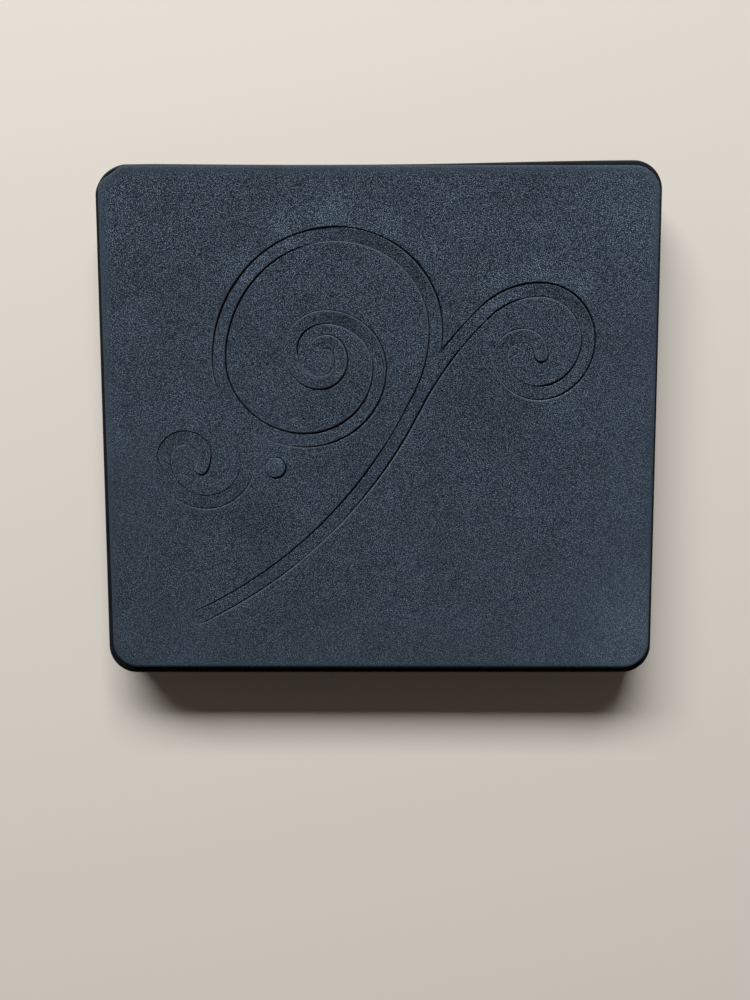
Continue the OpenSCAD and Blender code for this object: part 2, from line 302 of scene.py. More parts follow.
# The rules and the dot's tube punch: strips of spring steel with an edge ground from both sides, bent to
# the line, notched over the bridges and tapped into the slots until they stand on the tray.
scroll_order = ["stem_upper", "volute_inner", "coil_inner", "coil_outer", "left_outer",
                "left_inner", "volute_outer", "arm_outer", "arm_inner", "stem_lower"]
left_rules = ["stem_upper", "volute_inner", "coil_inner", "left_outer", "arm_outer"]
rule_names = [name + "_rule" for name in scroll_order]
rules = [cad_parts[name] for name in rule_names]
edge_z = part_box("dot_punch")[1].z
ground_h = 0.9 * mm
steel_weld = 0.001 * mm
steel_smooth = math.radians(18)


def rule_steel():
    """Rolled strip steel, satin along its length, with brighter ground bevels at the edge."""
    steel = new_finish("rule_steel", Metallic=1.0)
    place = place_on(steel)
    rolled = add(steel, "ShaderNodeMapping", {"Vector": place, "Scale": (120, 120, 9000)}).outputs["Vector"]
    streaks = noise(steel, rolled, scale=1, detail=4)
    ground = reckon(steel, "GREATER_THAN", height_of(steel, place), edge_z - ground_h)
    body = ramp(steel, streaks, [(0.3, (0.40, 0.41, 0.43)), (0.7, (0.56, 0.57, 0.59))])
    bevel = ramp(steel, streaks, [(0.3, (0.62, 0.63, 0.65)), (0.7, (0.74, 0.75, 0.77))])
    finish_with(steel, "Base Color", blend_colours(steel, ground, body, bevel))
    dull = add(steel, "ShaderNodeMapRange", {"Value": ground, "To Min": 0.5, "To Max": 0.36}).outputs[0]
    finish_with(steel, "Roughness", dull)
    roughen(steel, streaks, strength=0.2, depth=0.02 * mm)
    return steel


def take_up(name, mesh):
    """A new piece with this mesh, the only one that is selected."""
    piece = bpy.data.objects.new(name, mesh)
    bpy.context.scene.collection.objects.link(piece)
    bpy.ops.object.select_all(action="DESELECT")
    bpy.context.view_layer.objects.active = piece
    piece.select_set(True)
    return piece


# Each steel piece is a copy of its CAD mesh, merged so that its bends look smooth.
steel = rule_steel()
for name in [*rule_names, "dot_punch"]:
    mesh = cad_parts[name].data.copy()
    mesh.materials.clear()
    mesh.materials.append(steel)
    bent = take_up("steel_" + name, mesh)
    bpy.ops.object.mode_set(mode="EDIT")
    bpy.ops.mesh.select_all(action="SELECT")
    bpy.ops.mesh.remove_doubles(threshold=steel_weld)
    bpy.ops.object.mode_set(mode="OBJECT")
    bpy.ops.mesh.customdata_custom_splitnormals_clear()
    bpy.ops.object.shade_smooth_by_angle(angle=steel_smooth, keep_sharp_edges=False)
    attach(bent, "die")
    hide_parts(name)


# The adhesive film: thin double-sided tape, the colour of pale wax. It lies on the board, is slit along
# the rules, and holds the foam down.
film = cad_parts["foam_film"]


def waxy_film():
    """Pale yellow tape, a little cloudy."""
    tape = new_finish("waxy_film", Roughness=0.4)
    cloud = noise(tape, place_on(tape), scale=220, detail=4)
    colour = ramp(tape, cloud, [(0.3, (0.56, 0.50, 0.28)), (0.7, (0.68, 0.62, 0.40))])
    finish_with(tape, "Base Color", colour)
    return tape


film.data.materials.clear()
film.data.materials.append(waxy_film())


# The foam sheet: charcoal ejection foam around the scroll, stuck down on the film. The rules slit it, so
# its edges turn down a little along the slits, and it bulges over the rim. One corner is chipped.
foam_low, foam_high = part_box("field_foam")
foam_z = foam_low.z
foam_top = foam_high.z
foam_weld = 0.002 * mm
foam_smooth = math.radians(60)
# Spacing of the points along the slits, and the least gap between two points of a face.
step = 0.4 * mm
fine_step = step / 8
least_gap = 0.03 * mm
corner_points = 12
# Thin lips close the slit on top. Below clear_z it is wide enough to pass the rule.
slit_half = 0.455 * mm
clear_z = 15.05 * mm
lip_t = 0.12 * mm
least_lip = 0.05 * mm
proud_lip = 0.6
# The outer edge is rolled on top, bulges down to bulge_z, and fits into the tray below seat_z.
edge_roll = 0.9 * mm
bulge_z = 12.6 * mm
seat_z = 11.8 * mm
# Places along each rule, as (share of its length, half of the slit's gap, rise of the strip over the
# sheet). Gap and rise are millimetres. A slit that hasn't opened has next to no gap, so only its step
# shows, or nothing.
slit_places = {
    "stem_upper": [(0, 0.06, -0.1), (0.03, 0.12, -0.15), (0.1, 0.13, -0.15), (0.3, 0.14, -0.2),
                   (0.5, 0.15, -0.25), (0.72, 0.21, -0.3), (0.8, 0.16, -0.25), (0.86, 0.09, -0.15),
                   (1, 0.17, -0.15)],
    "volute_inner": [(0, 0.18, -0.15), (0.07, 0.19, -0.25), (0.15, 0.1, -0.45), (0.22, 0.06, -0.55),
                     (0.4, 0.05, -0.5), (0.45, 0.02, -0.25), (0.5, 0.15, 0.1), (0.62, 0.22, 0.15),
                     (0.75, 0.21, 0.1), (0.82, 0.18, 0.05), (0.86, 0.19, 0), (0.93, 0.12, -0.15),
                     (1, 0.17, -0.3)],
    "coil_inner": [(0, 0.17, -0.3), (0.12, 0.22, -0.35), (0.25, 0.17, -0.25), (0.36, 0.06, -0.25),
                   (0.43, 0.04, -0.5), (0.5, 0.07, -0.6), (0.57, 0.05, -0.5), (0.62, 0.12, -0.05),
                   (0.66, 0.18, 0.15), (0.72, 0.17, 0.15), (0.745, 0.1, 0.1), (0.77, 0.03, 0.1),
                   (0.8, 0.015, 0.25), (0.85, 0.03, 0.25), (0.89, 0.07, 0.1), (0.93, 0.07, -0.1),
                   (0.96, 0.06, -0.25), (0.99, 0.06, -0.2), (1, 0.05, -0.1)],
    "coil_outer": [(0, 0.01, -0.05), (0.02, 0.01, 0.2), (0.05, 0.05, 0.4), (0.08, 0.1, 0.4),
                   (0.11, 0.13, 0.4), (0.16, 0.18, 0.35), (0.21, 0.19, 0.3), (0.28, 0.09, 0.2),
                   (0.33, 0.01, 0.05), (0.38, 0.03, 0.25), (0.43, 0.07, 0.35), (0.5, 0.08, 0.4),
                   (0.57, 0.12, 0.3), (0.64, 0.14, 0.15), (0.72, 0.22, 0), (0.8, 0.21, 0),
                   (0.86, 0.15, -0.1), (0.93, 0.04, -0.2), (1, 0.01, -0.05)],
    "left_outer": [(0, 0.005, 0), (0.14, 0.01, -0.1), (0.2, 0.1, -0.2), (0.36, 0.1, -0.2),
                   (0.47, 0.04, -0.05), (0.58, 0.025, 0), (0.64, 0.09, -0.15), (0.72, 0.1, -0.15),
                   (0.86, 0.07, 0.15), (0.93, 0.22, 0.4), (0.97, 0.1, 0.4), (1, 0.01, 0.35)],
    "left_inner": [(0, 0.03, 0.35), (0.06, 0.03, 0.1), (0.14, 0.02, -0.35), (0.2, 0.04, -0.2),
                   (0.25, 0.09, -0.1), (0.33, 0.08, -0.05), (0.5, 0.06, -0.05), (0.6, 0.06, 0),
                   (0.66, 0.08, 0.05), (0.72, 0.02, 0.05), (1, 0.005, 0)],
    "volute_outer": [(0, 0.005, 0), (0.05, 0.05, -0.1), (0.1, 0.11, -0.25), (0.2, 0.22, -0.35),
                     (0.35, 0.15, -0.35), (0.45, 0.13, -0.25), (0.53, 0.12, -0.15), (0.6, 0.11, -0.05),
                     (0.66, 0.12, 0.1), (0.72, 0.17, 0.2), (0.8, 0.23, 0.25), (0.88, 0.21, 0.25),
                     (0.97, 0.12, 0.05), (1, 0.06, -0.1)],
    "arm_outer": [(0, 0.19, -0.1), (0.03, 0.18, -0.1), (0.07, 0.08, -0.15), (0.15, 0.18, -0.3),
                  (0.21, 0.17, -0.25), (0.27, 0.14, -0.05), (0.33, 0.19, 0.15), (0.43, 0.21, 0.2),
                  (0.5, 0.19, 0), (0.57, 0.2, -0.15), (0.63, 0.11, -0.4), (0.7, 0.05, -0.5),
                  (0.75, 0.02, -0.4), (0.79, 0.005, 0), (0.84, 0.1, 0.45), (0.91, 0.03, 0.4),
                  (0.945, 0.1, 0.4), (0.975, 0.19, 0.4), (1, 0.08, 0.4)],
    "arm_inner": [(0, 0.02, 0.35), (0.04, 0.01, 0.25), (0.08, 0.03, 0), (0.12, 0.03, -0.3),
                  (0.18, 0.02, -0.35), (0.24, 0.02, -0.2), (0.3, 0.03, -0.2), (0.36, 0.19, -0.35),
                  (0.45, 0.19, -0.3), (0.52, 0.15, -0.3), (0.6, 0.09, -0.45), (0.68, 0.09, -0.6),
                  (0.82, 0.08, -0.6), (0.87, 0.1, -0.3), (0.92, 0.19, 0), (1, 0.19, 0)],
    "stem_lower": [(0, 0.17, 0), (0.07, 0.13, -0.05), (0.14, 0.19, -0.2), (0.25, 0.22, -0.25),
                   (0.43, 0.2, -0.25), (0.5, 0.12, -0.3), (0.57, 0.08, -0.35), (0.65, 0.04, -0.3),
                   (0.72, 0.11, -0.25), (0.8, 0.15, -0.25), (0.9, 0.13, -0.2), (0.95, 0.11, -0.15),
                   (0.975, 0.06, -0.1), (1, 0.02, -0.05)],
}
# A lip that stands proud by deep_step or more is painted paler over this reach: a painted highlight.
deep_step = 0.35 * mm
lip_reach = 0.6 * mm
lip_highlight = (0.035, 0.04, 0.0455)
# Patches of the sheet and the strip, as (x, y, reach, amount), all but the amount in millimetres. A
# patch makes the foam paler, or darker where the amount is less than 0: partly dust, partly painted light
# and shade. Worn skin hides its cells.
sheet_dust_and_shading = [(-37, 41, 8, 0.25), (-26, 52, 8, 0.3), (-12, 56, 9, 0.35), (3, 52, 7, 0.25),
              (13, 45, 6, 0.2), (32, 38, 6, 0.3), (42, 40, 7, 0.35), (53, 36, 7, 0.35),
              (66, -52, 50, 0.1), (-18, 51, 14, 0.12), (-74, 30, 22, 0.12), (-74, 0, 22, 0.12),
              (-72, 60, 16, 0.1), (72, 58, 28, 0.18), (74, -56, 22, 0.42), (30, 5, 17, -0.2),
              (-31, -28, 13, -0.15), (16, -22, 18, -0.08), (64, -8, 30, 0.05), (-52, -8, 26, 0.1),
              (-30, -2, 14, 0.08)]
strip_dust_and_shading = [(-34, 40, 9, 0.3), (-24, 47, 6, 0.35), (30, 30, 6, 0.2), (36, 34, 5, 0.2),
              (-48, -12, 4, 0.15), (47, 35, 6, -0.15), (54, 29, 6, -0.2), (3, 46, 7, -0.15),
              (11, 39, 7, -0.2), (-7, 28, 7, -0.15), (-1, 22, 6, -0.12)]
# The foam is painted paler towards its right side and darker towards its left: a painted sheen.
right_side_sheen = 0.065
skin_reach = 4 * mm
edge_skin = 0.8
lip_skin = 0.8
skin_colour = (0.029, 0.0424, 0.0588, 1)
worn_skin = [(0, -20, 90, 0.1), (-66, -54, 34, 0.25), (66, -54, 34, 0.25), (-50, -68, 30, 0.2),
             (-15, -70, 30, 0.3), (20, -70, 30, 0.3), (50, -68, 30, 0.25), (-76, -15, 30, 0.3),
             (76, -20, 34, 0.3), (76, 18, 30, 0.22), (-76, 25, 26, 0.12), (66, 56, 40, 0.12),
             (38, -42, 44, 0.16), (0, -70, 60, 0.1), (-76, -20, 40, 0.12), (74, -46, 30, 0.2),
             (-56, 0, 55, 0.12), (63, 5, 42, 0.12), (-42, -60, 42, 0.08), (0, 76, 60, 0.05)]
# Low swells of the sheet, as (x, y, reach, height) in millimetres.
sheet_swells = [(-14, 52, 9, 0.25), (47, 35, 9, 0.25), (-44, -20, 12, 0.15)]


def cutting_line(rule):
    """The points along a rule's cutting edge, in order from one end to the other, seen from above."""
    spots = [v.co for v in rule.data.vertices]
    beside = {}
    for face in rule.data.polygons:
        tops = [spots[i] for i in face.vertices if spots[i].z > edge_z - hair]
        if len(tops) == 2:
            a, b = [(round(p.x, 6), round(p.y, 6)) for p in tops]
            beside.setdefault(a, set()).add(b)
            beside.setdefault(b, set()).add(a)
    line = [next(p for p in beside if len(beside[p]) == 1)]
    while len(line) < len(beside):
        line.append(next(p for p in beside[line[-1]] if p not in line[-2:]))
    return np.array(line)


def far(a, b):
    """Distance between two points."""
    return float(np.hypot(*(a - b)))


def lengths(points):
    """Distance along a line at each of its points."""
    return np.r_[0, np.cumsum(np.hypot(*np.diff(points[:, :2], axis=0).T))]


def closed_scroll():
    """All cutting lines joined into one closed line, with the foam strip on its right.

    Beside x and y, a point has the slit's gap, the strip's rise, and 1 for a rule on the strip's left."""
    lines = [cutting_line(rule) for rule in rules]
    first = lines[0]
    ends = lines[1][[0, -1]]
    if min(far(first[0], end) for end in ends) < min(far(first[-1], end) for end in ends):
        lines[0] = first[::-1]
    for i in range(1, len(lines)):
        if far(lines[i - 1][-1], lines[i][0]) > far(lines[i - 1][-1], lines[i][-1]):
            lines[i] = lines[i][::-1]
    for i, name in enumerate(scroll_order):
        reach = lengths(lines[i])
        share, gap, rise = np.array(slit_places[name]).T
        on_left = np.full(len(reach), float(name in left_rules))
        notes = [np.interp(reach / reach[-1], share, value) for value in (gap, rise)]
        lines[i] = np.column_stack([lines[i], *notes, on_left])
    return np.concatenate(lines)


def headings(points):
    """Unit direction from each point of a closed line to the next."""
    ahead = (np.roll(points, -1, axis=0) - points)[:, :2]
    return ahead / np.linalg.norm(ahead, axis=1)[:, None]


def sharp_turns(points):
    """Places of a closed line where it turns by more than 60 degrees at one point."""
    ahead = headings(points)
    return np.flatnonzero((ahead * np.roll(ahead, 1, axis=0)).sum(axis=1) < 0.5)


def smooth_run(points, spacing):
    """A smooth line through the points, with evenly spaced points of its own. Its notes change evenly."""
    reach = lengths(points)
    slope = np.gradient(points, reach, axis=0)
    at = np.linspace(0, reach[-1], round(reach[-1] / spacing) + 1)
    i = np.clip(np.searchsorted(reach, at, side="right") - 1, 0, len(points) - 2)
    h = (reach[i + 1] - reach[i])[:, None]
    t = (at - reach[i])[:, None] / h
    run = (1 + 2 * t) * (1 - t) ** 2 * points[i] + t * (1 - t) ** 2 * h * slope[i]
    run = run + t * t * (3 - 2 * t) * points[i + 1] - t * t * (1 - t) * h * slope[i + 1]
    for k in range(2, points.shape[1]):
        run[:, k] = np.interp(at, reach, points[:, k])
    for _ in range(3):
        run[1:-1] = (run[:-2] + 2 * run[1:-1] + run[2:]) / 4
    return run


def smooth_scroll(spacing):
    """The closed line of the scroll, smoothed between its sharp corners."""
    points = closed_scroll()
    points = np.roll(points, -sharp_turns(points)[0], axis=0)
    cuts = [*sharp_turns(points), len(points)]
    points = np.concatenate([points, points[:1]])
    return np.concatenate([smooth_run(points[a:b + 1], spacing)[:-1] for a, b in zip(cuts, cuts[1:])])


def moved_left(points, d):
    """A closed line moved to its left by d, mitred at sharp corners, with no loop inside a tight corner."""
    ahead = headings(points)
    left = np.stack([-ahead[:, 1], ahead[:, 0]], axis=1)
    before = np.roll(left, 1, axis=0)
    mitre = (left + before) / (1 + (left * before).sum(axis=1))[:, None]
    moved = points + mitre * np.reshape(d, (-1, 1))
    size = float(np.max(np.abs(d)))
    for corner in sharp_turns(points):
        turn = math.atan2(np.cross(ahead[corner - 1], ahead[corner]), ahead[corner - 1] @ ahead[corner])
        if turn * float(np.mean(d)) > 0:
            reach = size * math.tan(abs(turn) / 2)
            for k in np.arange(corner - corner_points, corner + corner_points + 1) % len(points):
                if far(points[k], points[corner]) < reach:
                    moved[k] = moved[corner]
    return moved


def inside(points, ring):
    """Which points lie inside a closed ring."""
    a, b = ring, np.roll(ring, -1, axis=0)
    odd = np.zeros(len(points), bool)
    for (ax, ay), (bx, by) in zip(a, b):
        if ay != by:
            crosses = (points[:, 1] < ay) != (points[:, 1] < by)
            odd ^= crosses & (points[:, 0] < ax + (points[:, 1] - ay) * (bx - ax) / (by - ay))
    return odd


def tree_of(points):
    """The points of a line, sorted for finding the nearest one."""
    tree = KDTree(len(points))
    for i, (x, y) in enumerate(points):
        tree.insert((x, y, 0), i)
    tree.balance()
    return tree


def nearest(tree, points):
    """Distance from each point to the nearest point of a tree, and that point's number."""
    found = [tree.find((x, y, 0)) for x, y in points]
    return np.array([f[2] for f in found]), np.array([f[1] for f in found])


def gaps_to(tree, points):
    """Distance from each point to the nearest point of a tree."""
    return nearest(tree, points)[0]


def spread(points, gap):
    """Drops points that lie closer than gap to one that is kept already."""
    kept, cells = [], {}
    for x, y in points:
        i, j = math.floor(x / gap), math.floor(y / gap)
        near = [p for u in (i - 1, i, i + 1) for v in (j - 1, j, j + 1) for p in cells.get((u, v), ())]
        if all((x - p[0]) ** 2 + (y - p[1]) ** 2 >= gap * gap for p in near):
            cells.setdefault((i, j), []).append((x, y))
            kept.append((x, y))
    return np.array(kept)


def fade(d, reach):
    """1 at a distance of nought, falling smoothly to 0 at the reach."""
    t = np.clip(d / reach, 0, 1)
    return 1 - t * t * (3 - 2 * t)


def swell(points, patches):
    """Sum of round patches that fade out, given as (x, y, reach, amount)."""
    total = np.zeros(len(points))
    for x, y, reach, amount in patches:
        total += amount * fade(np.hypot(*(points / mm - (x, y)).T), reach)
    return total


def lip_roll(gap, proud):
    """Radius of a foam lip: rounder where the slit is open, and where the lip stands proud of the other."""
    return least_lip + gap + proud_lip * np.maximum(proud, 0)


def roll_drop(d, r):
    """How far a rounded edge of radius r drops at a distance d from its side."""
    t = np.clip(d / r, 0, 1)
    return r * (1 - np.sqrt(1 - (1 - t) ** 2))


roll_turns = [math.radians(a) for a in (22, 45, 68, 90)]
past_roll = (1.7, 3)


def roll_rows(r):
    """Distances from the side at which a rounded edge of radius r needs points: on it and just past it."""
    return [r * (1 - math.cos(a)) for a in roll_turns] + [r * t for t in past_roll]


def flat_fill(rings, loose, keep):
    """Points and triangles over the flat region that closed rings bound, through the loose points too."""
    spots = [Vector(p) for ring in rings for p in ring] + [Vector(p) for p in loose]
    edges, first = [], 0
    for ring in rings:
        n = len(ring)
        edges += [(first + i, first + (i + 1) % n) for i in range(n)]
        first += n
    same_spot = 1e-9
    points, _, faces, *_ = delaunay_2d_cdt(spots, edges, [], 0, same_spot)
    points = np.array([tuple(p) for p in points])
    faces = np.array([tuple(f) for f in faces])
    middles = points[faces].mean(axis=1)
    return points, faces[keep(middles)]


def foam_pad(name, walls, loose, keep, height):
    """A closed pad: a face over loose points, walls that go down by (ring, z) levels, a flat underside."""
    points, faces = flat_fill([wall[0][0] for wall in walls], loose, keep)
    spots = [(x, y, z) for (x, y), z in zip(points, height(points))]
    sides = [tuple(f) for f in faces]
    for wall in walls:
        n = len(wall[0][0])
        first = len(spots)
        for ring, z in wall:
            spots += [(*p, level_z) for p, level_z in zip(ring, np.broadcast_to(z, n))]
        for row in range(len(wall) - 1):
            a, b = first + row * n, first + (row + 1) * n
            sides += [(a + i, a + (i + 1) % n, b + (i + 1) % n, b + i) for i in range(n)]
    points, faces = flat_fill([wall[-1][0] for wall in walls], [], keep)
    first = len(spots)
    spots += [(x, y, foam_z) for x, y in points]
    sides += [tuple(first + i for i in f) for f in faces]
    mesh = bpy.data.meshes.new(name)
    mesh.from_pydata(spots, [], sides)
    pad = take_up(name, mesh)
    bpy.ops.object.mode_set(mode="EDIT")
    bpy.ops.mesh.select_all(action="SELECT")
    bpy.ops.mesh.remove_doubles(threshold=foam_weld)
    bpy.ops.mesh.dissolve_degenerate(threshold=foam_weld)
    bpy.ops.mesh.normals_make_consistent(inside=False)
    bpy.ops.object.mode_set(mode="OBJECT")
    bpy.ops.object.shade_smooth_by_angle(angle=foam_smooth)
    return pad


def rounded(corners, spacing):
    """A closed outline through (x, y, radius) corners, each rounded by an arc."""
    arc_points = 13
    outline = []
    for i, (x, y, r) in enumerate(corners):
        here = np.array((x, y))
        back = np.array(corners[i - 1][:2]) - here
        ahead = np.array(corners[(i + 1) % len(corners)][:2]) - here
        back, ahead = back / np.hypot(*back), ahead / np.hypot(*ahead)
        half = math.acos(back @ ahead) / 2
        middle = here + (back + ahead) / np.hypot(*(back + ahead)) * r / math.sin(half)
        start = here + back * r / math.tan(half) - middle
        sweep = math.pi - 2 * half
        sweep = sweep if np.cross(ahead, back) > 0 else -sweep
        for turn in np.linspace(0, sweep, arc_points):
            c, s = math.cos(turn), math.sin(turn)
            outline.append(middle + np.array((c * start[0] - s * start[1], s * start[0] + c * start[1])))
    ends = np.array([*outline, outline[0]])
    reach = lengths(ends)
    at = np.linspace(0, reach[-1], round(reach[-1] / spacing), endpoint=False)
    return np.stack([np.interp(at, reach, ends[:, k]) for k in (0, 1)], axis=1)


scroll_line = smooth_scroll(step)
scroll = scroll_line[:, :2]
scroll_gap, scroll_rise = scroll_line[:, 2:4].T * mm
slit_line = smooth_scroll(fine_step)
slit_gap, slit_rise = slit_line[:, 2:4].T * mm
slit_tree = tree_of(slit_line[:, :2])
dot_low, dot_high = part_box("dot_punch")
dot_middle = np.array(((dot_low + dot_high) / 2)[:2])
dot_edge_r = 2.8 * mm
dot_open = 0.28 * mm
dot_open_turn = math.radians(-42)
dot_roll = 0.12 * mm
dot_points = 64
dot_turn = np.arange(dot_points) * math.tau / dot_points
dot_out = np.stack([np.cos(dot_turn), np.sin(dot_turn)], axis=1)
dot_line = dot_middle + dot_edge_r * dot_out
dot_gap = hair + dot_open * np.maximum(np.cos(dot_turn - dot_open_turn), 0)
# The outline above the rim, where the foam bulges, and the one in the tray, as (x, y, radius) corners.
# Each point of the first gets its nearest point of the second, so that a wall can join them.
field_corners = mm * np.array([(74.3, -67.4, 7), (74.45, 67.45, 7), (-67.8, 68.05, 1.5),
                               (-74.3, 63.55, 4), (-73.65, -67.2, 7)])
field_edge = rounded(field_corners, mm)
seat_corners = mm * np.array([(74, -67.3, 6), (74, 67.9, 6), (-67.6, 67.9, 1.5),
                              (-74, 63.7, 4), (-74, -67.3, 6)])
edge_step = 0.1 * mm
field_seat = rounded(seat_corners, mm)
field_seat = np.array([field_seat[np.argmin(np.hypot(*(field_seat - p).T))] for p in field_edge])
edge_tree = tree_of(rounded(field_corners, edge_step))


def from_slit(points):
    """Distance of points of the sheet from the nearest lip along the scroll, and that lip's radius."""
    d, i = nearest(slit_tree, points)
    return d - slit_gap[i], lip_roll(slit_gap[i], -slit_rise[i])


def from_dot(points):
    """Distance of points of the sheet from the lip around the dot."""
    aside = points - dot_middle
    turn = np.arctan2(aside[:, 1], aside[:, 0]) % math.tau
    return np.hypot(*aside.T) - dot_edge_r - np.interp(turn, [*dot_turn, math.tau], [*dot_gap, dot_gap[0]])


def field_height(points):
    """Height of the sheet's face."""
    slit, roll = from_slit(points)
    drop = np.maximum(roll_drop(slit, roll), roll_drop(from_dot(points), dot_roll))
    edge = gaps_to(edge_tree, points)
    return foam_top + swell(points, sheet_swells) * mm - drop - roll_drop(edge, edge_roll)


def in_field(points):
    """Which points lie on the sheet."""
    round_dot = np.hypot(*(points - dot_middle).T) > dot_edge_r
    return inside(points, field_edge) & ~inside(points, scroll) & round_dot


sheet_roll = lip_roll(scroll_gap, -scroll_rise)
field_rows = [moved_left(scroll, scroll_gap + sheet_roll * t) for t in roll_rows(1)]
field_rows += [dot_line + dot_out * (dot_gap + t)[:, None] for t in roll_rows(dot_roll)]
field_rows += [moved_left(field_edge, t) for t in roll_rows(edge_roll)]
across_x = np.arange(-73, 74, 2) * mm
across_y = np.arange(-66, 67, 2) * mm
across = [(x, y) for x in across_x for y in across_y]
field_loose = spread(np.concatenate([*field_rows, across]), least_gap)
clear = np.minimum(from_slit(field_loose)[0], from_dot(field_loose))
clear = np.minimum(clear, gaps_to(edge_tree, field_loose))
field_loose = field_loose[(clear > least_gap / 2) & in_field(field_loose)]


def slit_wall(lip, lower, wide, height):
    """Levels of a wall in a slit: a thin lip on top, undercut to the width that clears the rule."""
    z = height(lip)
    return [(lip, z), (lower, z - lip_t), (wide, clear_z), (wide, foam_z)]


scroll_sides = [moved_left(scroll, d) for d in (scroll_gap, scroll_gap + hair, slit_half)]
scroll_wall = slit_wall(*scroll_sides, field_height)
dot_across = dot_gap[:, None]
dot_sides = [dot_line + dot_out * d for d in (dot_across, dot_across + hair, slit_half)]
dot_wall = slit_wall(*dot_sides, field_height)
edge_wall = [(field_edge, field_height(field_edge)), (field_edge, bulge_z)]
edge_wall += [(field_seat, seat_z), (field_seat, foam_z)]
field = foam_pad("foam_sheet", [edge_wall, scroll_wall, dot_wall], field_loose, in_field, field_height)


def charcoal_foam():
    """Closed-cell foam, blue grey: fine cells cut open, a smooth skin near its edges, proud lips with a
    painted highlight, and patches of dust and painted light and shade.
    """
    foam = new_finish("charcoal_foam", Roughness=0.95, Specular_IOR_Level=0.2)
    place = add(foam, "ShaderNodeAttribute", attribute_name="rest_place").outputs["Vector"]
    lip, skin, dust_and_shading = [add(foam, "ShaderNodeAttribute", attribute_name=name).outputs["Fac"]
                       for name in ("lip", "skin", "dust_and_shading")]
    grain = noise(foam, place, scale=4955, detail=0)
    cells = ramp(foam, grain, [(0.437, (0.0, 0.001, 0.0042)), (0.514, (0.0142, 0.0279, 0.0474)),
                               (0.592, (0.0308, 0.0515, 0.0774)), (0.675, (0.0825, 0.115, 0.15)),
                               (0.755, (0.201, 0.239, 0.281))])
    plain = blend_colours(foam, skin, cells, skin_colour)
    cloud = noise(foam, place, scale=70, detail=3)
    faint = {"Value": cloud, "From Min": 0.3, "From Max": 0.7, "To Min": 0.9, "To Max": 1.1}
    worn = add(foam, "ShaderNodeMapRange", faint).outputs[0]
    # Dust and painted light and shade make the foam paler or darker here.
    dust_and_shading_scale = {"Vector": plain, "Scale": reckon(foam, "ADD", worn, dust_and_shading)}
    dusted_and_shaded = add(foam, "ShaderNodeVectorMath", dust_and_shading_scale, operation="SCALE").outputs[0]
    # Proud lips are painted paler here: a painted highlight.
    lipped = {0: lip, 1: lip_highlight, 2: dusted_and_shaded}
    colour = add(foam, "ShaderNodeVectorMath", lipped, operation="MULTIPLY_ADD").outputs[0]
    finish_with(foam, "Base Color", colour)
    roughen(foam, grain, strength=0.3, depth=0.1 * mm)
    return foam


def note(pad, name, values):
    """Writes one value for each point of a pad, for its material to read."""
    layer = pad.data.attributes.new(name, "FLOAT", "POINT")
    layer.data.foreach_set("value", np.asarray(values, dtype=np.float32))


def note_place(pad):
    """Writes where each point of a pad lies at rest, so that the grain goes with the foam under a press.

    All points near the top count as one level, so that a step or a swell doesn't change the grain."""
    place = np.array([v.co for v in pad.data.vertices])
    place[place[:, 2] > foam_top - mm, 2] = foam_top
    layer = pad.data.attributes.new("rest_place", "FLOAT_VECTOR", "POINT")
    layer.data.foreach_set("vector", place.astype(np.float32).ravel())


def seen_from_above(pad):
    """The points of a pad, without their height."""
    return np.array([v.co[:2] for v in pad.data.vertices])


foam = charcoal_foam()
field.data.materials.append(foam)
note_place(field)
spots = seen_from_above(field)
slit, _ = from_slit(spots)
proud = np.clip(-slit_rise[nearest(slit_tree, spots)[1]] / deep_step, 0, 1)
# Near a proud lip the sheet gets a painted highlight.
lip = proud * fade(slit, lip_reach)
note(field, "lip", lip)
# Paler and darker patches: partly dust, partly painted light and shade, with a painted sheen to the right.
note(field, "dust_and_shading", swell(spots, sheet_dust_and_shading) + right_side_sheen * spots[:, 0] / foam_high.x)
smooth = np.maximum(swell(spots, worn_skin), edge_skin * fade(gaps_to(edge_tree, spots), skin_reach))
note(field, "skin", np.maximum(smooth, lip_skin * lip))
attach(field, "die")
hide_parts("field_foam")
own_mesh(field)


# The foam strip: the same foam, cut out along the scroll between its two rules and stuck down on the film.
# It has sunk a little along most of the scroll, and stands proud round the coil and the volutes' tips.
on_left = slit_line[:, 4] > 0.5
left_side = np.flatnonzero(on_left)
right_side = np.flatnonzero(~on_left)
left_tree = tree_of(slit_line[left_side, :2])
right_tree = tree_of(slit_line[right_side, :2])


def strip_height(points):
    """Height of the strip's face, which goes evenly from the rise on its left to the rise on its right."""
    left_d, i = nearest(left_tree, points)
    right_d, j = nearest(right_tree, points)
    left_rise, right_rise = slit_rise[left_side[i]], slit_rise[right_side[j]]
    rise = (left_rise * right_d + right_rise * left_d) / (left_d + right_d)
    d, k = nearest(slit_tree, points)
    return foam_top + rise - roll_drop(d - slit_gap[k], lip_roll(slit_gap[k], slit_rise[k]))


def in_strip(points):
    """Which points lie on the strip."""
    return inside(points, scroll)


